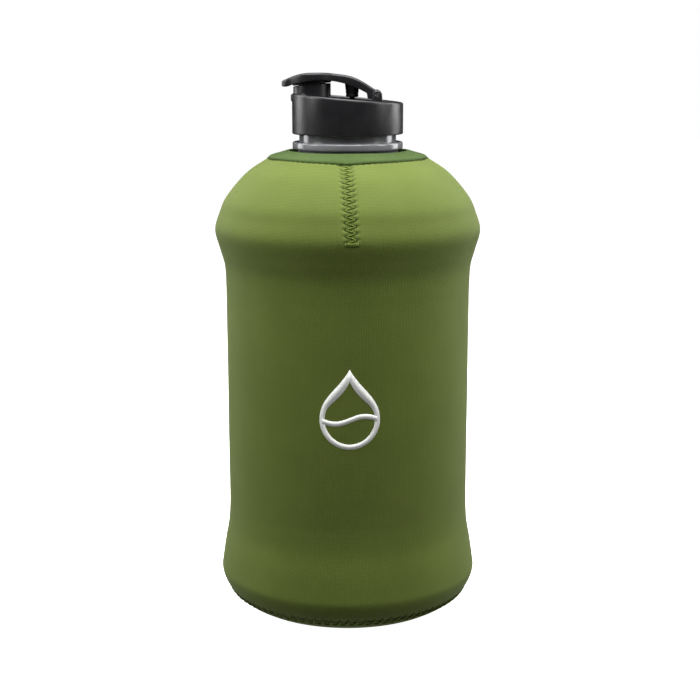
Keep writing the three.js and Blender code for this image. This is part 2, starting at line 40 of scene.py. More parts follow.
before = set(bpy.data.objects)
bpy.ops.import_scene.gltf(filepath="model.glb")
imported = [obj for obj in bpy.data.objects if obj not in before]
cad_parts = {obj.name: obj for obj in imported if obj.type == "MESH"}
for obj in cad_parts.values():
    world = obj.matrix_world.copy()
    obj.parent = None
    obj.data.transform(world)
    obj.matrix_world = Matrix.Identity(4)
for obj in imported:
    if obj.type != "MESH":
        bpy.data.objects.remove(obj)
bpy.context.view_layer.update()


# ---------------------------------------------------------------- node helpers

SOCKETS = {"ior": "IOR", "specular_ior_level": "Specular IOR Level"}


class Nodes:
    """The node tree of a material or a world, with short ways to add nodes and link them."""

    def __init__(self, owner):
        owner.use_nodes = True
        self.tree = owner.node_tree

    def node(self, kind, *values, **settings):
        """A new node; the values go into its first inputs, each a socket or a plain value."""
        made = self.tree.nodes.new("ShaderNode" + kind)
        for key, value in settings.items():
            setattr(made, key, value)
        for target, value in zip(made.inputs, values):
            self.feed(target, value)
        return made

    def feed(self, target, value):
        if hasattr(value, "is_linked"):
            self.tree.links.new(value, target)
        else:
            target.default_value = value

    def set(self, made, **values):
        for key, value in values.items():
            self.feed(made.inputs[SOCKETS.get(key, key.replace("_", " ").title())], value)

    def math(self, operation, a, b=0.0):
        return self.node("Math", a, b, operation=operation).outputs[0]

    def place(self):
        """The point in the row frame, in metres."""
        return self.node("TexCoord").outputs["Object"]

    def noise(self, scale, detail=3.0, roughness=0.5):
        made = self.node("TexNoise", self.place())
        self.set(made, scale=scale, detail=detail, roughness=roughness)
        return made.outputs["Fac"]

    def wave(self, direction, scale, place, distortion=0.0, detail_scale=1.0):
        """Parallel bands, as in a knit, a weave or a twisted thread."""
        made = self.node("TexWave", place, wave_type="BANDS", bands_direction=direction)
        self.set(made, scale=scale, distortion=distortion, detail_scale=detail_scale)
        return made.outputs["Fac"]

    def blend(self, factor, low, high, blend_type="MIX"):
        """Colour low to high by a factor from 0 to 1."""
        made = self.node("Mix", factor, data_type="RGBA", blend_type=blend_type)
        for target, colour in zip((made.inputs[6], made.inputs[7]), (low, high)):
            self.feed(target, (*colour, 1) if isinstance(colour, tuple) else colour)
        return made.outputs[2]

    def spread(self, value, low, high, to_low=0.0, to_high=1.0):
        """A value from low to high, mapped to another range and clamped."""
        return self.node("MapRange", value, low, high, to_low, to_high).outputs[0]

    def bump(self, height, distance, strength):
        made = self.node("Bump")
        self.set(made, strength=strength, distance=distance, height=height)
        return made.outputs["Normal"]

    def cylinder_place(self, radius):
        """(metres round the jug, metres up, metres out) for patterns that follow the sleeve."""
        x, y, z = self.node("SeparateXYZ", self.place()).outputs
        turn = self.math("ARCTAN2", x, self.math("MULTIPLY", y, -1.0))
        squares = [self.math("MULTIPLY", side, side) for side in (x, y)]
        out = self.math("SQRT", self.math("ADD", *squares))
        return self.node("CombineXYZ", self.math("MULTIPLY", turn, radius), z, out).outputs[0]


class Shader(Nodes):
    """A new material and its surface."""

    def __init__(self, name):
        self.material = bpy.data.materials.new(name)
        super().__init__(self.material)

    def surface(self, **values):
        self.set(self.tree.nodes["Principled BSDF"], **values)


# ---------------------------------------------------------------- camera and light

CAMERA_PLACE = (0.00115, -0.7, 0.2729)
CAMERA_DOWN = math.radians(11.7)
LENS = 73.35  # millimetres on a 36 mm sensor

WORLD_STRENGTH = 0.55
WORLD_STEPS = [(0.0, 1.0), (0.22, 1.0), (0.3, 0.03), (1.0, 0.03)]  # height from 0 to 1, level
MIDDLE = (0, 0, 0.15)
SOFTBOXES = [  # name, place, aim, size, power
    ("overhead", (0, -0.05, 1.0), (0, 0, 0.2), (0.9, 0.7), 16.6),
    ("front_top", (0, -0.40, 0.66), MIDDLE, (0.6, 0.25), 2.0),
    ("left_high", (-0.55, -0.12, 0.5), MIDDLE, (0.2, 0.5), 2.05),
    ("right_high", (0.55, -0.12, 0.5), MIDDLE, (0.2, 0.5), 1.95),
    ("left_back", (-0.6, 0.3, 0.4), MIDDLE, (0.25, 0.6), 2.1),
    ("right_back", (0.6, 0.3, 0.4), MIDDLE, (0.25, 0.6), 2.6),
]


def add_object(name, data):
    made = bpy.data.objects.new(name, data)
    bpy.context.scene.collection.objects.link(made)
    return made


def add_camera():
    data = bpy.data.cameras.new("camera")
    data.lens = LENS
    data.sensor_width = 36
    data.clip_start = 0.01
    camera = add_object("camera", data)
    camera.location = CAMERA_PLACE
    camera.rotation_euler = (math.pi / 2 - CAMERA_DOWN, 0, 0)
    bpy.context.scene.camera = camera


def add_softbox(name, place, aim, size, power):
    data = bpy.data.lights.new(name, "AREA")
    data.shape = "RECTANGLE"
    data.size, data.size_y = size
    data.energy = power
    light = add_object(name, data)
    light.location = place
    direction = Vector(aim) - Vector(place)
    light.rotation_euler = direction.to_track_quat("-Z", "Y").to_euler()
    light.visible_camera = False


def add_world():
    """White to the camera; as a light it is a dim room over a bright table."""
    world = bpy.data.worlds.new("studio")
    bpy.context.scene.world = world
    nodes = Nodes(world)
    nodes.tree.nodes.clear()
    split = nodes.node("SeparateXYZ", nodes.node("TexCoord").outputs["Generated"])
    ramp = nodes.node("ValToRGB", nodes.spread(split.outputs["Z"], -1, 1))
    while len(ramp.color_ramp.elements) < len(WORLD_STEPS):
        ramp.color_ramp.elements.new(0.5)
    for element, (position, level) in zip(ramp.color_ramp.elements, WORLD_STEPS):
        element.position = position
        element.color = (level, level, level, 1)
    sky = nodes.node("Background", ramp.outputs[0], WORLD_STRENGTH)
    white = nodes.node("Background", (1, 1, 1, 1))
    seen = nodes.node("LightPath").outputs["Is Camera Ray"]
    mix = nodes.node("MixShader", seen, sky.outputs[0], white.outputs[0])
    nodes.node("OutputWorld", mix.outputs[0])


def add_floor():
    """A pale floor that does not throw its light back up under the jug."""
    half = 4
    corners = [(-half, -half, 0), (half, -half, 0), (half, half, 0), (-half, half, 0)]
    mesh = bpy.data.meshes.new("floor")
    mesh.from_pydata(corners, [], [(0, 1, 2, 3)])
    floor = add_object("floor", mesh)
    shader = Shader("pale_floor")
    shader.surface(base_color=(0.94, 0.94, 0.94, 1), roughness=0.9)
    shader.surface(emission_color=(1, 1, 1, 1), emission_strength=1.0)
    mesh.materials.append(shader.material)
    floor.visible_diffuse = False
    floor.visible_glossy = False


add_camera()
add_world()
add_floor()
for softbox in SOFTBOXES:
    add_softbox(*softbox)
bpy.context.scene.view_settings.view_transform = "Standard"


# ---------------------------------------------------------------- mesh helpers

WELD = 1e-6  # points closer than this, in metres, are one


def new_mesh(name, points, faces):
    """A smooth-shaded object from points in millimetres."""
    mesh = bpy.data.meshes.new(name)
    mesh.from_pydata((np.asarray(points, float) * MM).tolist(), [], faces)
    work = bmesh.new()
    work.from_mesh(mesh)
    bmesh.ops.remove_doubles(work, verts=work.verts, dist=WELD)
    bmesh.ops.recalc_face_normals(work, faces=work.faces)
    work.to_mesh(mesh)
    work.free()
    mesh.polygons.foreach_set("use_smooth", [True] * len(mesh.polygons))
    return add_object(name, mesh)


def circle(count):
    """Turns evenly spaced round a circle."""
    return np.linspace(0, TAU, count, endpoint=False)


def apply_modifiers(piece):
    bpy.context.view_layer.update()
    graph = bpy.context.evaluated_depsgraph_get()
    mesh = bpy.data.meshes.new_from_object(piece.evaluated_get(graph))
    piece.modifiers.clear()
    piece.data = mesh


def combine(piece, operation, *others):
    """Joins other objects to a piece, or cuts them out of it, and removes them."""
    for other in others:
        boolean = piece.modifiers.new("combine", "BOOLEAN")
        boolean.operation = operation
        boolean.solver = "EXACT"
        boolean.object = other
        apply_modifiers(piece)
        bpy.data.objects.remove(other)


def finish_piece(piece, material, body, slot, *replaced):
    """Gives a piece its material and body, and the CAD nodes that it stands for. The slot is not used."""
    piece.data.materials.clear()
    piece.data.materials.append(material)
    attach(piece, body)
    if replaced:
        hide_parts(*replaced)


def band_faces(rows, columns, wrap_rows=False, wrap_columns=True):
    """Quads between rows of points; each row has the same number of columns."""
    faces = []
    for i in range(rows if wrap_rows else rows - 1):
        for j in range(columns if wrap_columns else columns - 1):
            here, above = i * columns, (i + 1) % rows * columns
            side = (j + 1) % columns
            faces.append((here + j, here + side, above + side, above + j))
    return faces


def loft(name, rows):
    """A closed skin through rows of points, with flat ends."""
    count = len(rows[0])
    last = (len(rows) - 1) * count
    faces = band_faces(len(rows), count) + [tuple(range(count)), tuple(range(last, last + count))]
    return new_mesh(name, np.concatenate(rows), faces)


def slab(name, outline, y0, y1, edge=0.0, steps=0):
    """An (x, z) outline pulled along Y, with rounded edges if they are given a radius."""
    outline = np.asarray(outline, float)
    ahead = np.roll(outline, -1, 0) - np.roll(outline, 1, 0)
    inwards = np.stack([-ahead[:, 1], ahead[:, 0]], -1) / np.linalg.norm(ahead, axis=1)[:, None]
    bend = np.linspace(0, math.pi / 2, steps + 1)
    near = [(edge * (1 - math.sin(a)), y0 + edge * (1 - math.cos(a))) for a in bend]
    far = [(edge * (1 - math.sin(a)), y1 - edge * (1 - math.cos(a))) for a in bend[::-1]]
    rows = []
    for shrink, y in near + far:
        line = outline + inwards * shrink
        rows.append(np.stack([line[:, 0], np.full(len(line), y), line[:, 1]], -1))
    return loft(name, rows)


def tube(path, radius, sides=6, closed=False):
    """Points and faces of a round tube along a path, with its ends closed."""
    path = np.asarray(path, float)
    ahead = np.roll(path, -1, 0) - np.roll(path, 1, 0)
    if not closed:
        ahead[0], ahead[-1] = path[1] - path[0], path[-1] - path[-2]
    ahead /= np.linalg.norm(ahead, axis=1)[:, None]
    side = np.cross(ahead[0], (0.3, 0.5, 0.81))
    points = []
    for place, forward in zip(path, ahead):
        side = side - forward * side.dot(forward)
        side /= np.linalg.norm(side)
        up = np.cross(forward, side)
        for k in range(sides):
            turn = TAU * k / sides
            points.append(place + radius * (math.cos(turn) * side + math.sin(turn) * up))
    faces = band_faces(len(path), sides, wrap_rows=closed)
    if not closed:
        last = (len(path) - 1) * sides
        faces += [tuple(range(sides))[::-1], tuple(range(last, last + sides))]
    return points, faces


def join(parts):
    """Several (points, faces) as one."""
    points, faces = [], []
    for more_points, more_faces in parts:
        start = len(points)
        points += list(more_points)
        faces += [tuple(start + k for k in face) for face in more_faces]
    return points, faces


def catmull(knots, step):
    """A centripetal Catmull-Rom curve through the knots, with points about step apart."""
    knots = np.asarray(knots, float)
    ends = [2 * knots[0] - knots[1], *knots, 2 * knots[-1] - knots[-2]]
    points = []
    for p0, p1, p2, p3 in zip(ends, ends[1:], ends[2:], ends[3:]):
        gaps = [max(np.linalg.norm(b - a), 1e-9) ** 0.5 for a, b in ((p0, p1), (p1, p2), (p2, p3))]
        t0, t1, t2, t3 = np.cumsum([0, *gaps])
        for t in np.linspace(t1, t2, max(2, int(np.linalg.norm(p2 - p1) / step)), endpoint=False):
            a1 = p0 + (p1 - p0) * (t - t0) / (t1 - t0)
            a2 = p1 + (p2 - p1) * (t - t1) / (t2 - t1)
            a3 = p2 + (p3 - p2) * (t - t2) / (t3 - t2)
            b1 = a1 + (a2 - a1) * (t - t0) / (t2 - t0)
            b2 = a2 + (a3 - a2) * (t - t1) / (t3 - t1)
            points.append(b1 + (b2 - b1) * (t - t1) / (t2 - t1))
    return np.array([*points, knots[-1]])


# ---------------------------------------------------------------- materials

def neoprene_material():
    """Knitted nylon on foam: fine ribs of jersey loops, a soft mottle and a sheen at its edges."""
    shader = Shader("neoprene_knit")
    wrapped = shader.cylinder_place(0.06)
    mottle = shader.noise(38, 4, 0.6)
    fuzz = shader.noise(2600, 2, 0.7)
    ribs = shader.wave("X", 400, wrapped, 0.6, 2.0)
    loops = shader.wave("Y", 520, wrapped, 1.2, 3.0)
    knit = shader.math("MULTIPLY", ribs, loops)
    relief = shader.math("ADD", shader.math("MULTIPLY", knit, 0.6), shader.math("MULTIPLY", fuzz, 0.5))
    tone = shader.blend(shader.spread(mottle, 0.3, 0.7), *NEOPRENE)
    # Painted shade: the knit's colour is darkened where its relief is low, in the hollows between the
    # loops.
    depth = shader.spread(knit, 0.0, 0.6, 0.90, 1.04)
    shaded = shader.blend(1.0, tone, depth, "MULTIPLY")
    shader.surface(base_color=shaded, roughness=shader.spread(fuzz, 0.2, 0.8, 0.72, 0.95))
    shader.surface(sheen_weight=0.12, sheen_roughness=0.45, sheen_tint=(0.85, 0.95, 0.6, 1))
    shader.surface(specular_ior_level=0.35, normal=shader.bump(relief, 0.00025, 0.35))
    return shader.material


def tape_material():
    """Ribbed elastic tape, a lighter and fresher green."""
    shader = Shader("binding_tape")
    wrapped = shader.cylinder_place(0.035)
    weave = shader.wave("X", 520, wrapped, 0.8)
    fuzz = shader.noise(2200, 2, 0.7)
    tone = shader.blend(shader.spread(shader.noise(60, 3), 0.3, 0.7), *TAPE)
    relief = shader.math("ADD", shader.math("MULTIPLY", weave, 0.7), fuzz)
    shader.surface(base_color=tone, roughness=0.85, sheen_weight=0.05, sheen_roughness=0.4)
    shader.surface(specular_ior_level=0.12, normal=shader.bump(relief, 0.0003, 0.5))
    return shader.material


def thread_material(name, low, high):
    """Twisted polyester: slanted fine bands."""
    shader = Shader(name)
    twist = shader.wave("DIAGONAL", 900, shader.place())
    tone = shader.blend(twist, low, high)
    shader.surface(base_color=tone, roughness=0.7, specular_ior_level=0.15)
    shader.surface(normal=shader.bump(twist, 0.0002, 0.5))
    return shader.material


def moulded_material(name, low, high, roughness, grain=0.00006):
    """Moulded plastic or rubber: a fine grain, slow changes in gloss and a few rub marks."""
    shader = Shader(name)
    slow = shader.noise(90, 3)
    grit = shader.noise(1800, 4, 0.65)
    scuffs = shader.noise(420, 6, 0.75)
    tone = shader.blend(shader.spread(slow, 0.3, 0.7), low, high)
    gloss = shader.math("ADD", shader.spread(slow, 0.25, 0.75, roughness - 0.05, roughness + 0.05),
                        shader.spread(scuffs, 0.55, 0.8, 0.0, 0.12))
    shader.surface(base_color=tone, roughness=gloss, normal=shader.bump(grit, grain, 0.6))
    return shader.material


def bottle_material():
    """Smoke-grey clear plastic with the slow ripples of a blown wall."""
    shader = Shader("smoke_plastic")
    ripples = shader.noise(60, 2)
    tone = shader.blend(shader.spread(ripples, 0.3, 0.7), *SMOKE)
    shader.surface(base_color=tone, roughness=shader.spread(ripples, 0.3, 0.7, 0.10, 0.18))
    shader.surface(transmission_weight=0.3, ior=1.54, normal=shader.bump(ripples, 0.0006, 0.25))
    return shader.material


def film_material():
    """White heat-pressed film that lets a little of the knit show through as relief."""
    shader = Shader("white_film")
    press = shader.noise(1500, 3)
    tone = shader.blend(shader.spread(press, 0.3, 0.7), *FILM)
    shader.surface(base_color=tone, roughness=0.5, normal=shader.bump(press, 0.0001, 0.5))
    return shader.material


def steel_material():
    """Drawn steel wire with a fine uneven polish."""
    shader = Shader("pin_steel")
    brushed = shader.noise(3000, 2)
    tone = shader.blend(brushed, *STEEL)
    shader.surface(base_color=tone, metallic=1.0, roughness=shader.spread(brushed, 0.3, 0.7, 0.25, 0.4))
    return shader.material


# The darkest and lightest colour of each material.
NEOPRENE = (0.098, 0.135, 0.016), (0.112, 0.151, 0.020)
TAPE = (0.052, 0.088, 0.022), (0.066, 0.106, 0.030)
THREAD = (0.115, 0.158, 0.026), (0.145, 0.195, 0.034)
# The neck tape's thread: real green thread, darkened to paint the shade of the crease it sits in.
CREASE_SHADE_THREAD = (0.045, 0.07, 0.012), (0.07, 0.10, 0.02)
# Painted shade: the dark inside of the needle holes, put on small discs.
NEEDLE_HOLE_SHADE = (0.02, 0.032, 0.004), (0.03, 0.045, 0.006)
FILM = (0.80, 0.81, 0.77), (0.90, 0.91, 0.88)
SMOKE = (0.22, 0.222, 0.235), (0.29, 0.293, 0.305)
BLACK = (0.010, 0.010, 0.0115), (0.016, 0.016, 0.018)
RUBBER = (0.012, 0.012, 0.013), (0.02, 0.02, 0.022)
STEEL = (0.42, 0.43, 0.44), (0.60, 0.61, 0.62)

neoprene = neoprene_material()
tape = tape_material()
thread = thread_material("green_thread", *THREAD)
crease_shaded_thread = thread_material("green_thread_with_painted_crease_shade", *CREASE_SHADE_THREAD)
hole_shade = moulded_material("needle_hole_shade", *NEEDLE_HOLE_SHADE, 0.9)
black = moulded_material("black_polypropylene", *BLACK, 0.34)
rubber = moulded_material("black_silicone", *RUBBER, 0.55)
smoke = bottle_material()
film = film_material()
steel = steel_material()


# ---------------------------------------------------------------- the sleeve's shape

FLAT_RADIUS = 46.4
BULGE_RADIUS, BULGE_HEIGHT = 64.4, 17.8
CORNER_POWER = 1.75
BASE_SEAM_TURN = 0.7
WAIST_RADIUS = 60.0
THICKNESS = 3.0
INNER_DEPTH = THICKNESS - 0.2  # the sleeve's inner skin, clear of the bottle
INNER_REACH = 3.0  # inner skins take their direction over this distance each way, so they do not fold
LOWER_FLANK = [(BULGE_RADIUS, BULGE_HEIGHT), (62.6, 30), (60.7, 41), (WAIST_RADIUS, 52)]
UPPER_FLANK = [
    (WAIST_RADIUS, 160), (60.6, 172), (62.7, 180), (65.0, 189.5),
    (62.6, 198), (60.0, 204), (49.7, 216), (38.4, 223.2),
]
FRONT, BACK = 0.0, math.pi  # turns round the jug, from -Y towards +X


def base_corner(turn):
    """[r, z] on the base corner: turn 0 is the bulge, a quarter turn the flat underneath."""
    power = 2 / CORNER_POWER
    turn = np.clip(turn, 0, math.pi / 2)
    return np.stack([FLAT_RADIUS + (BULGE_RADIUS - FLAT_RADIUS) * np.cos(turn) ** power,
                     BULGE_HEIGHT * (1 - np.sin(turn) ** power)], -1)


class Profile:
    """The sleeve's outside from the middle of its base to its neck, by distance along it."""

    def __init__(self):
        flat = np.array([[r, 0.0] for r in np.arange(0, FLAT_RADIUS, 2)])
        corner = base_corner(np.linspace(math.pi / 2, 0, 80))
        flank = np.vstack([catmull(LOWER_FLANK, 0.5), catmull(UPPER_FLANK, 0.5)])
        points = np.vstack([flat, corner[:-1], flank])
        steps = np.linalg.norm(np.diff(points, axis=0), axis=1)
        points = points[np.r_[True, steps > 1e-6]]
        self.along = np.r_[0, np.cumsum(np.linalg.norm(np.diff(points, axis=0), axis=1))]
        self.points = points
        self.length = self.along[-1]
        seam = base_corner(BASE_SEAM_TURN)
        self.seam = self.along[np.argmin(np.linalg.norm(points - seam, axis=1))]

    def at(self, s):
        s = np.asarray(s, float)
        return np.stack([np.interp(s, self.along, self.points[:, k]) for k in (0, 1)], -1)

    def normal(self, s, reach=1.0):
        ahead = self.at(np.minimum(s + reach, self.length)) - self.at(np.maximum(s - reach, 0))
        ahead /= np.linalg.norm(ahead, axis=-1)[..., None]
        return np.stack([ahead[..., 1], -ahead[..., 0]], -1)

    def at_height(self, z):
        """Distance along the outside at a height above the base seam."""
        above = self.along > self.seam
        return np.interp(z, self.points[above, 1], self.along[above])


profile = Profile()
NECK_SEAM = profile.length
DART_LOW, DART_HIGH = profile.at_height(190), NECK_SEAM - 1.0
SEAM_HALF = 2.25  # half the width of the upright zigzag seams


def round_jug(turn, r, z):
    """Points at a turn round the jug, from the front towards +X, with a radius and a height."""
    return np.stack([r * np.sin(turn), -r * np.cos(turn), z], -1)


def on_sleeve(turn, s, lift=0.0):
    """Points in millimetres at a turn round the jug and a distance along the profile."""
    turn, s = np.broadcast_arrays(np.asarray(turn, float), np.asarray(s, float))
    place = profile.at(s) + profile.normal(s) * np.asarray(lift, float)[..., None]
    return round_jug(turn, place[..., 0], place[..., 1])


def neck_rise(turn):
    """The neck seam is lowest at the dart, like the point of a wide V."""
    away = np.abs(np.arctan2(np.sin(turn), np.cos(turn)))
    return 1.35 * np.tanh(away / 0.5) * (0.7 + 0.3 * np.cos(away))


class UprightSeam:
    """A zigzag seam up the sleeve: its needle holes and centre line."""

    def __init__(self, turn, low, high, pitch, lean=0.0, tack=False):
        self.turn, self.low, self.high = turn, low, high
        self.legs = 2 * round((high - low) / pitch)
        self.lean = lean
        self.tack = tack

    def centre(self, s):
        """Distance of the seam's centre line from its turn, in millimetres round the jug."""
        return self.lean * np.clip((self.high - s) / (self.high - self.low), 0, 1) - 0.25 * self.lean

    def holes(self):
        """(millimetres across, distance along) of each needle hole, from the bottom up."""
        s = np.linspace(self.low, self.high, self.legs + 1)
        side = np.where(np.arange(self.legs + 1) % 2, 1.0, -1.0)
        return np.stack([self.centre(s) + SEAM_HALF * side, s], -1)

    def across(self, turn, s):
        """Millimetres round the jug from the seam's turn; turn_at is the way back."""
        r = profile.at(s)[..., 0]
        return np.arctan2(np.sin(turn - self.turn), np.cos(turn - self.turn)) * r

    def turn_at(self, across, s):
        return self.turn + across / profile.at(s)[..., 0]

    def relief(self, turn, s):
        """Lift of the neoprene round the seam: a pressed channel, puffed edges, stitch dimples."""
        across = self.across(turn, s)
        inside = 1 / (1 + np.exp(-(s - self.low + 1.2) / 0.7)) / (1 + np.exp((s - self.high) / 0.7))
        off = across - self.centre(s)
        lift = 0.22 * np.exp(-((np.abs(off) - 5.2) / 1.8) ** 2) - 0.38 * np.exp(-(off / 3.2) ** 4)
        near = np.abs(off) < 6
        dimples = np.zeros(lift.shape)
        for x, hole in self.holes():
            gap = ((across[near] - x) / 1.3) ** 2 + ((s[near] - hole) / 0.62) ** 2
            dimples[near] -= 0.7 * np.exp(-gap)
        return lift * inside + dimples


GRIP_LOW, GRIP_HIGH = (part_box("handle_slot_binding")[k].z / MM for k in (0, 1))
dart = UprightSeam(FRONT, DART_LOW, DART_HIGH, 3.15, lean=2.6, tack=True)
back_upper = UprightSeam(BACK, profile.at_height(GRIP_HIGH + 1.5), NECK_SEAM - 1.5, 3.2)
back_lower = UprightSeam(BACK, profile.seam + 5, profile.at_height(GRIP_LOW - 1.5), 3.2)
UPRIGHT_SEAMS = (dart, back_upper, back_lower)
BASE_STITCHES = 92


def soft_noise(turn, s):
    """A slow unevenness of the stretched foam, the same on every run."""
    waves = ((3, 0.021, 0.4), (5, 0.034, 1.9), (7, 0.055, 4.1), (11, 0.03, 2.6))
    return sum(0.05 * np.sin(k * turn + f * s + p) * np.cos(0.6 * k * turn - f * s) for k, f, p in waves)


def relief(turn, s):
    """Lift of the neoprene's outside: its unevenness, the base seam, the neck's edge and the seams."""
    lift = soft_noise(turn, s) * np.clip((s - profile.seam) / 20, 0, 1)
    lift = lift - 0.40 * np.exp(-((s - profile.seam) / 2.6) ** 4)
    lift = lift - 0.10 * np.cos(turn * BASE_STITCHES) * np.exp(-((s - profile.seam) / 2.8) ** 4)
    lift = lift - 0.5 * np.clip((s - NECK_SEAM + 2.2) / 2.2, 0, 1) ** 2
    for seam in UPRIGHT_SEAMS:
        lift = lift + seam.relief(turn, s)
    return lift


def spaced(low, high, step):
    """Numbers about step apart, from low up to but not including high."""
    return np.linspace(low, high, max(2, round((high - low) / step) + 1))[:-1]


def wall_rows():
    """Distances along the wall, close together at the seams."""
    bulge, waist = profile.at_height([LOWER_FLANK[1][1], LOWER_FLANK[-1][1]])
    rise, shoulder = profile.at_height([UPPER_FLANK[0][1], 186])
    return np.r_[
        spaced(profile.seam + 0.25, profile.seam + 5, 0.5), spaced(profile.seam + 5, bulge, 1.2),
        spaced(bulge, waist, 1.5), spaced(waist, rise, 2.4), spaced(rise, shoulder, 1.0),
        spaced(shoulder, NECK_SEAM, 0.42), NECK_SEAM,
    ]


def wall_turns():
    """Turns round the wall, close together at the front dart and the back seam."""
    fine = 6.5 / WAIST_RADIUS
    near = np.arange(-fine, fine + 1e-9, 0.42 / WAIST_RADIUS)
    between = np.linspace(fine, math.pi - fine, 74)[1:-1]
    return np.r_[near, between, math.pi + near, TAU - between[::-1]]


def shell_layers(turn, s, outer):
    """Rows of the outside surface, then the inner skin's rows in the opposite order."""
    place = profile.at(s) - profile.normal(s, INNER_REACH) * INNER_DEPTH
    return np.concatenate([outer, round_jug(turn, place[..., 0], place[..., 1])[::-1]])


def sleeve_outside(turn, s):
    """The wall's outside, raised towards the neck except at the dart."""
    points = on_sleeve(turn, s, relief(turn, s))
    fade = np.clip((s - DART_LOW) / (NECK_SEAM - DART_LOW), 0, 1) ** 3
    points[..., 2] += neck_rise(turn) * fade
    return points


def rounded_block(half, low, high, radius):
    """An (x, z) outline with four round corners."""
    corners = ((half - radius, low + radius, -90), (half - radius, high - radius, 0),
               (radius - half, high - radius, 90), (radius - half, low + radius, 180))
    return np.array([
        (x + radius * math.cos(angle), z + radius * math.sin(angle))
        for x, z, start in corners for angle in np.radians(np.linspace(start, start + 90, 17))
    ])


def slot_outline(margin):
    """The outline of the bound slot in the back wall, grown by a margin."""
    low, high = (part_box("handle_slot_binding")[k] / MM for k in (0, 1))
    half = high.x + margin
    return rounded_block(half, low.z - margin, high.z + margin, half - 6)


def make_sleeve_wall():
    turn, s = np.meshgrid(wall_turns(), wall_rows())
    layers = shell_layers(turn, s, sleeve_outside(turn, s))
    faces = band_faces(*layers.shape[:2], wrap_rows=True)
    wall = new_mesh("neoprene_wall", layers.reshape(-1, 3), faces)
    combine(wall, "DIFFERENCE", slab("slot", slot_outline(-1.2), 20, 90))
    finish_piece(wall, neoprene, "jug", "neoprene", "sleeve_wall")


def make_sleeve_base():
    low_edge = profile.seam - 0.3
    rows = np.r_[spaced(4, profile.seam - 6, 3), spaced(profile.seam - 6, low_edge, 0.5), low_edge]
    turn, s = np.meshgrid(circle(240), rows)
    outer = on_sleeve(turn, s, relief(turn, s))
    outer[..., 2] = np.maximum(outer[..., 2], 0)
    layers = shell_layers(turn, s, outer)
    rings, count = layers.shape[:2]
    faces = band_faces(rings, count)
    middle_low = rings * count
    middle_high, last = middle_low + 1, (rings - 1) * count
    for j in range(count):
        k = (j + 1) % count
        faces += [(middle_low, k, j), (middle_high, last + j, last + k)]
    points = np.vstack([layers.reshape(-1, 3), [[0, 0, 0], [0, 0, INNER_DEPTH]]])
    base = new_mesh("neoprene_base", points, faces)
    finish_piece(base, neoprene, "jug", "neoprene", "sleeve_base")


make_sleeve_wall()
make_sleeve_base()


# ---------------------------------------------------------------- bindings

def make_neck_binding():
    """Folded tape over the sleeve's top edge, pressed flat, with a rolled inner and outer edge."""
    section = catmull([
        (37.4, 222.4), (38.5, 222.9), (38.3, 223.7), (36.6, 224.8), (34.4, 225.7), (31.6, 226.8),
        (29.3, 227.5), (28.6, 227.1), (29.2, 226.4), (31.6, 225.6), (34.2, 224.2), (36.2, 222.9),
    ], 0.35)
    turns = circle(288)
    rows = []
    for r, z in section:
        out = np.clip((r - 29) / 9, 0, 1)
        ripple = 0.06 * np.sin(turns * 64 + 0.5 * np.sin(turns * 3)) * np.clip(out * 2 - 1, 0, 1)
        height = z + neck_rise(turns) * out ** 1.5 + ripple + 0.10 * np.sin(turns * 5 + 1)
        rows.append(round_jug(turns, r, height))
    faces = band_faces(len(rows), len(turns), wrap_rows=True)
    binding = new_mesh("neck_tape", np.concatenate(rows), faces)
    finish_piece(binding, tape, "jug", "binding_tape", "neck_binding")


def make_binding_stitches():
    """The row of stitches that holds the tape, in the crease where it meets the neoprene; their thread is
    darkened, painted shade of the crease.
    """
    count = 84
    parts = []
    for i in range(count):
        turns = np.linspace(i + 0.16, i + 0.84, 7) * TAU / count
        arch = np.sin(np.linspace(0, math.pi, 7))
        path = on_sleeve(turns, NECK_SEAM - 0.75, -0.35 + 0.42 * arch)
        path[:, 2] += neck_rise(turns)
        parts.append(tube(path, 0.2, 5))
    # Darker thread here: painted shade of the crease under the tape's edge.
    finish_thread("neck_tape_stitches", parts, crease_shaded_thread)


def slot_path(offset, count):
    """The slot's outline on the sleeve, moved outwards by an offset: rows of (turn, distance)."""
    outline = slot_outline(offset)
    outline = np.vstack([outline, outline[:1]])
    along = np.r_[0, np.cumsum(np.linalg.norm(np.diff(outline, axis=0), axis=1))]
    steps = np.linspace(0, along[-1], count, endpoint=False)
    x, z = (np.interp(steps, along, outline[:, k]) for k in (0, 1))
    s = profile.at_height(z)
    return math.pi - np.arcsin(np.clip(x / profile.at(s)[:, 0], -1, 1)), s


def make_slot_binding():
    """Tape folded over the slot's edge: out over the sleeve, round the edge and in behind it."""
    section = [(0.4, 0.1), (0.55, 0.62), (0.0, 0.85), (-1.6, 0.8), (-3.2, 0.7), (-4.4, 0.3),
               (-4.9, -0.9), (-4.6, -2.2), (-3.6, -2.8), (-1.2, -2.6)]
    count = 220
    rows = []
    for offset, lift in section:
        turn, s = slot_path(offset, count)
        ripple = 0.06 * np.sin(np.arange(count) * TAU * 40 / count) * (lift > 0)
        rows.append(on_sleeve(turn, s, lift + ripple))
    faces = band_faces(len(rows), count, wrap_rows=True)
    binding = new_mesh("slot_tape", np.concatenate(rows), faces)
    smooth = binding.modifiers.new("smooth", "SUBSURF")
    smooth.levels = smooth.render_levels = 1
    apply_modifiers(binding)
    finish_piece(binding, tape, "jug", "binding_tape", "handle_slot_binding")
    parts = []
    stitches = 96
    turn, s = slot_path(-0.75, stitches * 6)
    for i in range(stitches):
        pick = np.arange(i * 6 + 1, i * 6 + 6)
        arch = np.sin(np.linspace(0, math.pi, len(pick)))
        parts.append(tube(on_sleeve(turn[pick], s[pick], 0.7 + 0.3 * arch), 0.2, 5))
    finish_thread("slot_tape_stitches", parts, thread)


# ---------------------------------------------------------------- stitching

THREAD_RADIUS = 0.3


def finish_thread(name, parts, material, *replaced):
    finish_piece(new_mesh(name, *join(parts)), material, "jug", "thread", *replaced)


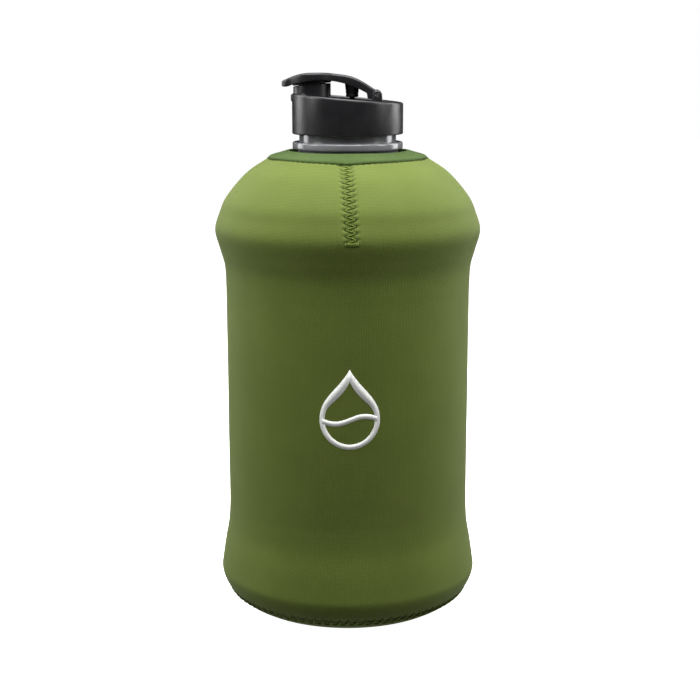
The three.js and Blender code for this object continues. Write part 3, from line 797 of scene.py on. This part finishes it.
def hole_shade_disc(centre_turn, centre_s, wide, tall, lift):
    """A small dark oval that follows the sleeve: painted shade in the mouth of a needle hole."""
    ring = circle(10)
    r = profile.at(centre_s)[0]
    points = []
    for scale, up in ((1.0, lift), (0.55, lift + 0.05)):
        turns = centre_turn + wide * scale * np.cos(ring) / r
        points.append(on_sleeve(turns, centre_s + tall * scale * np.sin(ring), up))
    middle = on_sleeve(centre_turn, centre_s, lift + 0.06)
    under = on_sleeve(centre_turn, centre_s, lift - 0.3)
    points = np.vstack([*points, [middle, under]])
    count = len(ring)
    faces = band_faces(2, count)
    for j in range(count):
        k = (j + 1) % count
        faces += [(count + j, count + k, 2 * count), (k, j, 2 * count + 1)]
    return points, faces


def make_upright_stitches(seam, name, node):
    """The zigzag thread of an upright seam, its bar tack if it has one, and dark discs of painted shade in
    its needle holes.
    """
    holes = seam.holes()
    parts, dark = [], []
    for (x0, s0), (x1, s1) in zip(holes, holes[1:]):
        t = np.linspace(0, 1, 9)
        x, s = x0 + (x1 - x0) * t, s0 + (s1 - s0) * t
        lift = -0.75 + 0.62 * np.sin(math.pi * t) ** 0.5
        parts.append(tube(on_sleeve(seam.turn_at(x, s), s, lift), THREAD_RADIUS))
    if seam.tack:
        x0, s0 = seam.centre(seam.low), seam.low - 0.6
        for k in range(9):
            x = x0 - 2.9 + 0.725 * k
            s = np.linspace(s0 - 0.9, s0 + 0.7, 5)
            lift = -0.3 + 0.55 * np.sin(np.linspace(0.3, math.pi - 0.3, 5))
            parts.append(tube(on_sleeve(seam.turn_at(x, s), s, lift), THREAD_RADIUS))
        # Painted shade in the needle holes at the bar tack's ends.
        dark += [hole_shade_disc(seam.turn_at(x0 + side * 3.1, s0), s0, 0.7, 1.1, -0.12) for side in (-1, 1)]
    # Painted shade in each needle hole, its disc smaller towards the top of the seam.
    for x, s in holes:
        shade_taper = 1 - 0.5 * np.clip((s - seam.low) / (seam.high - seam.low) * 2 - 1, 0, 1)
        dark.append(hole_shade_disc(seam.turn_at(x, s), s, 1.4 * shade_taper, 0.68 * shade_taper, -0.6))
    finish_thread(name, parts, thread, node)
    finish_thread(name + "_hole_shade", dark, hole_shade)


def make_base_stitches():
    """The flat overlock of the base seam: upright bars, and the thread that links them below."""
    parts, dark = [], []
    half = 2.3
    for i in range(BASE_STITCHES):
        turn = TAU * i / BASE_STITCHES
        s = profile.seam + np.linspace(-half, half, 9)
        arch = np.sin(np.linspace(0.15, math.pi - 0.15, 9)) ** 0.5
        slant = np.linspace(-0.35, 0.35, 9) * TAU / BASE_STITCHES * 0.5
        parts.append(tube(on_sleeve(turn + slant, s, -0.5 + 0.62 * arch), 0.42))
        low_turn = turn + np.linspace(0.2, 0.8, 6) * TAU / BASE_STITCHES
        low_arch = np.sin(np.linspace(0, math.pi, 6))
        low_path = on_sleeve(low_turn, profile.seam - half - 0.2, -0.25 + 0.35 * low_arch)
        parts.append(tube(low_path, 0.22, 5))
        # Painted shade: a dark disc in the needle hole between two bars.
        dark.append(hole_shade_disc(turn + 0.5 * TAU / BASE_STITCHES, profile.seam + 0.9, 0.55, 1.3, -0.42))
    finish_thread("base_stitches", parts, thread, "base_seam_stitching")
    finish_thread("base_stitches_hole_shade", dark, hole_shade)


make_neck_binding()
make_binding_stitches()
make_slot_binding()
make_upright_stitches(dart, "dart_stitches", "dart_stitching")
make_upright_stitches(back_upper, "back_stitches_upper", "back_seam_stitching_upper")
make_upright_stitches(back_lower, "back_stitches_lower", "back_seam_stitching_lower")
make_base_stitches()


# ---------------------------------------------------------------- print

PRINT = {"x": 1.0, "z": 112.0, "height": 38.0, "radius": 14.0, "stroke": 2.4, "wave": 1.8}


def drop_outline(shrink, count=96):
    """A water drop in x and z, with its stroke taken off: a round bowl under two curved sides."""
    radius = PRINT["radius"] - shrink
    middle = PRINT["z"] - PRINT["height"] / 2 + PRINT["radius"]
    tip = PRINT["z"] + PRINT["height"] / 2 - shrink * 2.4
    bowl = np.linspace(math.pi, TAU, count // 2)
    points = np.stack([radius * np.cos(bowl), middle + radius * np.sin(bowl)], -1)
    t = np.linspace(0, 1, count // 4 + 1)[1:, None]
    start, control_a = np.array([radius, middle]), np.array([radius, middle + radius * 0.75])
    control_b, end = np.array([radius * 0.45, tip - PRINT["height"] * 0.28]), np.array([0, tip])
    side = ((1 - t) ** 3 * start + 3 * t * (1 - t) ** 2 * control_a
            + 3 * t ** 2 * (1 - t) * control_b + t ** 3 * end)
    mirrored = side[::-1][1:] * (-1, 1)
    return np.vstack([points, side, mirrored])


def film_band(left, right, closed):
    """A strip of film between two rows of (x, z) on the sleeve's front."""
    rows = []
    for line, lift in ((left, -0.1), (left, 0.10), (right, 0.10), (right, -0.1)):
        s = profile.at_height(line[:, 1])
        turn = np.arcsin((line[:, 0] + PRINT["x"]) / profile.at(s)[:, 0])
        rows.append(on_sleeve(turn, s, lift + soft_noise(turn, s)))
    faces = band_faces(4, len(left), wrap_rows=True, wrap_columns=closed)
    if not closed:
        count = len(left)
        faces.append(tuple(k * count for k in range(4)))
        faces.append(tuple(k * count + count - 1 for k in range(3, -1, -1)))
    return np.concatenate(rows), faces


def make_print():
    """A plain water drop with a wave across it, as thin film on the front."""
    outer, inner = drop_outline(0), drop_outline(PRINT["stroke"])
    level = PRINT["z"] - PRINT["height"] / 2 + PRINT["radius"]
    reach = PRINT["radius"] - PRINT["stroke"] * 0.5
    x = np.linspace(-reach, reach, 40)
    middle = level + PRINT["wave"] * np.sin(x / PRINT["radius"] * math.pi)
    half = PRINT["stroke"] / 2
    wave = film_band(np.stack([x, middle + half], -1), np.stack([x, middle - half], -1), False)
    drop = new_mesh("drop_print", *join([film_band(outer, inner, True), wave]))
    finish_piece(drop, film, "jug", "print_film", "front_print")


make_print()


# ---------------------------------------------------------------- turned and lofted shapes

def rounded(corners, size=2, radius=0.4, steps=4, closed=True):
    """An outline with soft corners. A corner is size numbers, then its own radius if it has one."""
    own = [corner[size] if len(corner) > size else radius for corner in corners]
    places = [np.array(corner[:size], float) for corner in corners]
    points = []
    for i, here in enumerate(places):
        if not closed and i in (0, len(places) - 1):
            points.append(here)
            continue
        before, after = places[i - 1] - here, places[(i + 1) % len(places)] - here
        reach = [min(own[i], 0.45 * np.linalg.norm(leg)) for leg in (before, after)]
        first, last = (here + leg / max(np.linalg.norm(leg), 1e-9) * far
                       for leg, far in zip((before, after), reach))
        for t in np.linspace(0, 1, steps + 1):
            points.append((1 - t) ** 2 * first + 2 * t * (1 - t) * here + t ** 2 * last)
    return np.array(points)


def lathe(name, outline, x=0.0, slope=0.0, sides=128):
    """Turns (radius, height, share of the slope) round an upright axis at x.

    An outline that starts off the axis closes on itself.
    """
    turns = circle(sides)
    rows = []
    for r, z, share in outline:
        across = r * np.cos(turns)
        rows.append(np.stack([x + across, r * np.sin(turns), z + share * slope * across], -1))
    faces = band_faces(len(rows), sides, wrap_rows=outline[0][0] > 0)
    return new_mesh(name, np.concatenate(rows), faces)


def turned(name, corners, **settings):
    """A lathe of (radius, height, share of the slope, corner's radius), from the axis to the axis."""
    return lathe(name, rounded(corners, 3, closed=False), **settings)


def crisp(piece, angle=32):
    """Smooth shading that stops at edges sharper than an angle in degrees."""
    piece.data.polygons.foreach_set("use_smooth", [True] * len(piece.data.polygons))
    piece.data.set_sharp_from_angle(angle=math.radians(angle))
    return piece


# ---------------------------------------------------------------- bottle

BOTTLE_GAP = THICKNESS + 0.3  # from the sleeve's outside to the bottle's
BOTTLE_WALL = 1.6
NECK_RADIUS, NECK_BORE, NECK_RIM = 23.5, 21.6, 246.4
RING_RADIUS, RING_LOW, RING_HIGH = 26.8, 228.1, 231.6
POCKET = {"width": 72, "bottom": 72, "top": 168, "corner": 30, "floor": 14, "floor_round": 8}
GRIP_WIDTH, GRIP_DEPTH, GRIP_CENTRE, GRIP_SOCKET = 20, 16, 46.4, 6


def inner_line(depth, low, high, step):
    """The sleeve's profile moved in by a depth, between two distances along it."""
    s = spaced(low, high, step)
    return profile.at(s) - profile.normal(s, INNER_REACH) * depth


def bottle_lathe(name, depth, neck):
    """The bottle's outside or, one wall further in, its inside: a solid of revolution."""
    flat = profile.along[np.searchsorted(profile.points[:, 0], FLAT_RADIUS - 1)]
    low = depth
    foot = [(0.0, low + 7), (12, low + 6.4), (22, low + 4.9), (32, low + 1.6), (38, low)]
    side = inner_line(depth, flat, profile.at_height(214), 1.6)
    outline = [*catmull(foot, 2), *side, *neck]
    return lathe(name, [(max(r, 0.0), z, 0) for r, z in outline], sides=160)


def pocket_cutter(name, margin):
    """The pocket behind the grip, with a rounded floor and lips rolled out to the bottle's wall."""
    half = POCKET["width"] / 2 + margin
    low, high = POCKET["bottom"] - margin, POCKET["top"] + margin
    floor, bend = POCKET["floor"] - margin, POCKET["floor_round"]
    lip = 3.0 - margin
    wall = WAIST_RADIUS - BOTTLE_GAP

    def ring(grow):
        return rounded_block(half + grow, low - grow, high + grow, POCKET["corner"] + margin + grow)

    rows = []
    for a in np.linspace(0, math.pi / 2, 7):
        line = ring(-bend * (1 - math.sin(a)))
        rows.append((line, np.full(len(line), floor + bend * (1 - math.cos(a)))))
    for a in np.linspace(0, math.pi * 0.42, 7):
        line = ring(lip * (1 - math.cos(a)))
        surface = np.sqrt(wall ** 2 - line[:, 0] ** 2)
        rows.append((line, surface - lip * (1 - math.sin(a))))
    line = ring(lip * 1.6)
    rows.append((line, np.full(len(line), wall + 14)))
    return loft(name, [np.stack([line[:, 0], y, line[:, 1]], -1) for line, y in rows])


def grip_rows(swell, low, high):
    """Oval sections up the grip: a palm swell in the middle and flared roots at both ends."""
    rows = []
    turns = circle(48)
    for z in np.r_[spaced(low, high, 2.0), high]:
        share = (z - (low + high) / 2) / (high - low) * 2
        palm = -0.9 * (1 - swell) * np.cos(share * math.pi * 0.5) * np.cos(share * math.pi * 4) ** 2
        half_x = GRIP_WIDTH / 2 + swell - 0.4 * np.cos(share * math.pi) - 0.6
        half_y = GRIP_DEPTH / 2 + swell - 0.6
        x = half_x * np.sign(np.cos(turns)) * np.abs(np.cos(turns)) ** 0.85
        y = half_y * np.sign(np.sin(turns)) * np.abs(np.sin(turns)) ** 0.85
        inner = np.clip(-np.sin(turns), 0, 1) ** 2
        rows.append(np.stack([x, GRIP_CENTRE + y + inner * np.abs(palm) * 0.8, np.full(len(turns), z)], -1))
    return rows


def make_grip():
    low, high = POCKET["bottom"] - GRIP_SOCKET, POCKET["top"] + GRIP_SOCKET
    grip = loft("grip_bar", grip_rows(0.5, low, high))
    finish_piece(crisp(grip, 40), black, "jug", "cap_plastic", "grip_handle")


def thread_ridge(root, crest, start, pitch=5.0, height=1.8, sides=96):
    """A one-turn helical ridge that fades into its wall at both ends."""
    rows = []
    for i in range(sides + 1):
        turn = TAU * i / sides
        rise = min(1.0, (min(i, sides - i) + 0.5) / (sides * 0.1))
        tip = root + (crest - root) * rise
        half = height / 2
        corners = [(root, -half), (tip, -half / 2), (tip, half / 2), (root, half)]
        section = rounded(corners, radius=0.35, steps=2)
        rows.append([(r * math.cos(turn), r * math.sin(turn), start + pitch * i / sides + dz)
                     for r, dz in section])
    return loft("thread_ridge", [np.array(row) for row in rows])


def make_bottle():
    neck = rounded([
        (44, 217.6), (31, 222.6, 2), (26.4, 224.2, 1.5), (24.6, 225.6, 0.8), (24.6, RING_LOW, 0.2),
        (RING_RADIUS, RING_LOW, 0.9), (RING_RADIUS, RING_HIGH, 0.9), (NECK_RADIUS, RING_HIGH, 0.5),
        (NECK_RADIUS, NECK_RIM, 0.5), (NECK_BORE + 0.2, NECK_RIM, 0.4), (0, NECK_RIM),
    ], closed=False)
    shell = bottle_lathe("bottle_shell", BOTTLE_GAP, neck)
    top = NECK_RIM + 1
    bore = [(42, 216), (29.8, 221), (24, 222.8), (NECK_BORE, 224.6), (NECK_BORE, top), (0, top)]
    inside = bottle_lathe("inside", BOTTLE_GAP + BOTTLE_WALL, bore)
    combine(inside, "DIFFERENCE", pocket_cutter("lining", BOTTLE_WALL))
    combine(shell, "DIFFERENCE", pocket_cutter("pocket", 0.0), inside)
    combine(shell, "UNION", thread_ridge(NECK_RADIUS - 0.4, 24.9, 239))
    finish_piece(crisp(shell), smoke, "jug", "smoke_plastic", "bottle")


make_bottle()
make_grip()


# ---------------------------------------------------------------- cap

CAP_RADIUS, CAP_BORE, CAP_LOW, CAP_LEDGE = 26.9, 25.25, 235.3, 248.2
DECK_HIGH, DECK_SLOPE = 252.5, -4.2 / 50.4
SPOUT_X, SPOUT_RADIUS, SPOUT_BORE, SPOUT_RIM, RIM_SLOPE = -17.2, 9.05, 7.2, 258.7, 0.09
VENT_X = 2.2
HINGE_X, HINGE_Z, HINGE_RADIUS, HINGE_HOLE = 14.2, 254.0, 2.3, 1.15
HINGE_NEAR, HINGE_FAR = 8.0, 10.8


def deck_at(x):
    return DECK_HIGH + DECK_SLOPE * x


def pin_hole():
    turns = circle(48)
    x, z = HINGE_X + HINGE_HOLE * np.cos(turns), HINGE_Z + HINGE_HOLE * np.sin(turns)
    return slab("pin_hole", np.stack([x, z], -1), -20, 20)


def make_spout():
    """The drinking spout: a tube with a soft rim and a small drip lip on its outer side."""
    low = DECK_HIGH - 3
    wall = [(SPOUT_RADIUS, z, (z - low) / (SPOUT_RIM - low)) for z in spaced(low, SPOUT_RIM - 0.5, 0.3)]
    rim = rounded([(SPOUT_RADIUS, SPOUT_RIM - 0.6, 1), (SPOUT_RADIUS, SPOUT_RIM, 1, 0.5),
                   (SPOUT_BORE, SPOUT_RIM, 1, 0.6), (SPOUT_BORE, low, 0)], 3, closed=False)
    spout = lathe("spout", [*wall, *rim], x=SPOUT_X, slope=RIM_SLOPE, sides=96)
    for vertex in spout.data.vertices:
        x, y, z = vertex.co / MM
        out = Vector((x - SPOUT_X, y, 0))
        side = np.clip((-out.x / SPOUT_RADIUS - 0.25) / 0.5, 0, 1)
        bead = np.clip((z - 249.8) / 2.0, 0, 1) * np.clip((254.5 - z) / 0.7, 0, 1)
        if out.length > SPOUT_RADIUS - 0.1:
            vertex.co += out.normalized() * (1.25 * side * math.sin(bead * math.pi / 2) * MM)
    return spout


def ear_outline():
    turns = np.linspace(0, math.pi, 15)
    top = [(HINGE_X + HINGE_RADIUS * math.cos(t), HINGE_Z + HINGE_RADIUS * math.sin(t)) for t in turns]
    root = CAP_LEDGE + 2
    return [(HINGE_X + HINGE_RADIUS + 0.3, root), *top, (HINGE_X - HINGE_RADIUS - 0.3, root)]


def make_cap():
    body = turned("cap", [
        (0, DECK_HIGH - 2.2, 1, 0), (20, DECK_HIGH - 2.2, 1, 0.6), (20, CAP_LEDGE, 0, 0.2),
        (CAP_BORE, CAP_LEDGE, 0, 0.3), (CAP_BORE, CAP_LOW, 0, 0.5), (CAP_RADIUS, CAP_LOW, 0, 0.7),
        (CAP_RADIUS, DECK_HIGH, 1, 1.3), (CAP_RADIUS - 1.9, DECK_HIGH, 1, 0.4),
        (CAP_RADIUS - 2.3, DECK_HIGH - 0.6, 1, 0.5), (0, DECK_HIGH - 0.6, 1, 0),
    ], slope=DECK_SLOPE, sides=160)
    line = [(0, 248, 0), (SPOUT_BORE, 248, 0), (SPOUT_BORE, 262, 0), (0, 262, 0)]
    bore = lathe("bore", line, x=SPOUT_X)
    vent = lathe("vent", [(0, 248, 0), (1.8, 248, 0), (1.8, 256, 0), (0, 256, 0)], x=VENT_X, sides=48)
    ears = [slab("ear", ear_outline(), *sorted((side * HINGE_NEAR, side * HINGE_FAR)), 0.7, 3)
            for side in (-1, 1)]
    combine(body, "UNION", thread_ridge(CAP_BORE + 0.4, 23.95, 236.5))
    combine(body, "DIFFERENCE", bore, vent)
    combine(body, "UNION", make_spout(), *ears)
    combine(body, "DIFFERENCE", pin_hole())
    finish_piece(crisp(body), black, "cap", "cap_plastic", "screw_cap")


make_cap()


# ---------------------------------------------------------------- lid

LID_X, LID_Z, LID_OUTER, LID_INNER = -13.0, 217.4, 47.2, 43.5
LID_TIP, TIP_LOW, TAB_HALF, COVER_RADIUS, STRAP_HALF = -31.7, 257.8, 6.5, 11.2, 7.7
LEG_X = HINGE_X - HINGE_RADIUS - 2.4


def arc_height(radius, x):
    return LID_Z + np.sqrt(np.maximum(radius ** 2 - (x - LID_X) ** 2, 0))


def swell(x, low, high):
    """A soft bump from 0 to 1 and back between two ends."""
    return math.sin(math.pi * min(1.0, max(0.0, (x - low) / (high - low)))) ** 2


def lid_sides(x):
    """The lid's underside and top at x: an arch with full haunches that ends in a knuckle."""
    knuckle = math.sqrt(max(HINGE_RADIUS ** 2 - (x - HINGE_X) ** 2, 0))
    high = float(arc_height(LID_OUTER, x)) + 0.5 * swell(x, -32.5, -14) + 0.6 * swell(x, -7, 13)
    low = float(arc_height(LID_INNER, x))
    tip = np.clip((x - LID_TIP) / 4.5, 0, 1)
    low = low * tip + (TIP_LOW + 0.25) * (1 - tip)
    high -= 0.5 * (1 - np.clip((x - LID_TIP) / 0.8, 0, 1)) ** 2
    if x > LEG_X - 0.2:
        low += (deck_at(LEG_X) + 0.4 - low) * min(1, (x - LEG_X + 0.2) / 0.4)
    if x > HINGE_X - HINGE_RADIUS * 0.5:
        low = HINGE_Z - knuckle
    if x > HINGE_X - 0.6:
        high = min(high, HINGE_Z + knuckle)
    return low, max(high, low + 0.05)


def lid_half(x):
    """Half of the lid's width at x: a thumb tab, a round cover over the spout, then a strap."""
    round_off = TAB_HALF * 0.6
    near = min(x - LID_TIP, round_off)
    tab = TAB_HALF - round_off + math.sqrt(max(round_off ** 2 - (round_off - near) ** 2, 0))
    cover = math.sqrt(max(COVER_RADIUS ** 2 - (x - SPOUT_X) ** 2, 0))
    strap = STRAP_HALF if x > SPOUT_X else 0
    soft = 1.5
    parts = [part for part in (tab if x < SPOUT_X else 0, cover, strap) if part > 0]
    return min(soft * math.log(sum(math.exp(part / soft) for part in parts)), COVER_RADIUS)


def lid_section(x):
    low, high = lid_sides(x)
    half = lid_half(x)
    top = min(1.0, 0.45 * (high - low))
    bottom = min(0.5, 0.45 * (high - low))
    outline = rounded([(-half, low, bottom), (half, low, bottom), (half, high, top), (-half, high, top)],
                      steps=5)
    crown = 0.35 * (outline[:, 0] / half) ** 2 * np.clip((outline[:, 1] - low) / (high - low), 0, 1)
    crown *= min(1.0, (high - low) / 3)
    return np.stack([np.full(len(outline), x), outline[:, 0], outline[:, 1] - crown], -1)


def make_lid():
    """The arched lid, lofted from its tip to its knuckle, with the spout's skirt and the vent's peg."""
    stations = np.r_[
        LID_TIP + np.array([0.02, 0.12, 0.3, 0.6]), spaced(LID_TIP + 1, LEG_X - 0.3, 0.55),
        LEG_X + np.array([-0.3, -0.1, 0.1, 0.3]), spaced(LEG_X + 0.6, HINGE_X + 1.5, 0.3),
        HINGE_X + HINGE_RADIUS * np.sin(np.linspace(0.75, 1.35, 9)),
    ]
    lid = loft("lid", [lid_section(x) for x in stations])
    rim = SPOUT_RIM + 0.3
    collar = [(7.3, rim, 1, 0.3), (9.3, rim, 1, 0.4), (9.3, 261, 0, 0.2), (7.3, 261, 0, 0.2)]
    skirt = lathe("skirt", rounded(collar, 3), x=SPOUT_X, slope=RIM_SLOPE, sides=96)
    foot = deck_at(VENT_X) + 2.2
    peg = turned("peg", [(0, foot, 0, 0), (3.1, foot, 0, 0.3), (3.1, foot + 1.2, 0, 0.8),
                         (3.6, 259.6, 0, 0.1), (0, 259.6, 0, 0)], x=VENT_X, sides=64)
    combine(lid, "UNION", skirt, peg)
    combine(lid, "DIFFERENCE", pin_hole())
    finish_piece(crisp(lid), black, "lid", "cap_plastic", "flip_lid")


def make_plugs():
    """The spout's stopper with its two sealing beads, and the vent's."""
    top = float(arc_height(LID_INNER, SPOUT_X)) + 0.6
    stopper = turned("spout_stopper", [
        (0, 255.9, 0, 0), (6.1, 255.9, 0, 0.6), (6.25, 256.8, 0, 0.3), (6.65, 257.3, 0, 0.5),
        (6.25, 257.8, 0, 0.3), (6.4, 258.3, 0, 0.3), (6.4, top, 0, 0.1), (0, top, 0, 0),
    ], x=SPOUT_X, sides=96)
    finish_piece(crisp(stopper, 50), rubber, "lid", "silicone", "spout_plug")
    deck = deck_at(VENT_X)
    plug = turned("vent_stopper", [
        (0, deck - 2.2, 0, 0), (1.15, deck - 2.2, 0, 0.4), (1.3, deck - 0.6, 0, 0.2),
        (1.3, deck + 0.5, 0, 0.2), (2.9, deck + 0.6, 0, 0.3), (3.1, deck + 1.4, 0, 0.4),
        (2.8, deck + 2.4, 0, 0.2), (0, deck + 2.4, 0, 0),
    ], x=VENT_X, sides=48)
    finish_piece(crisp(plug, 50), rubber, "lid", "silicone", "vent_plug")


make_lid()
make_plugs()


# ---------------------------------------------------------------- carried-over nodes, given new materials

for node, material in (("cap_gasket", rubber), ("hinge_pin", steel)):
    for material_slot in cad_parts[node].material_slots:
        material_slot.material = material
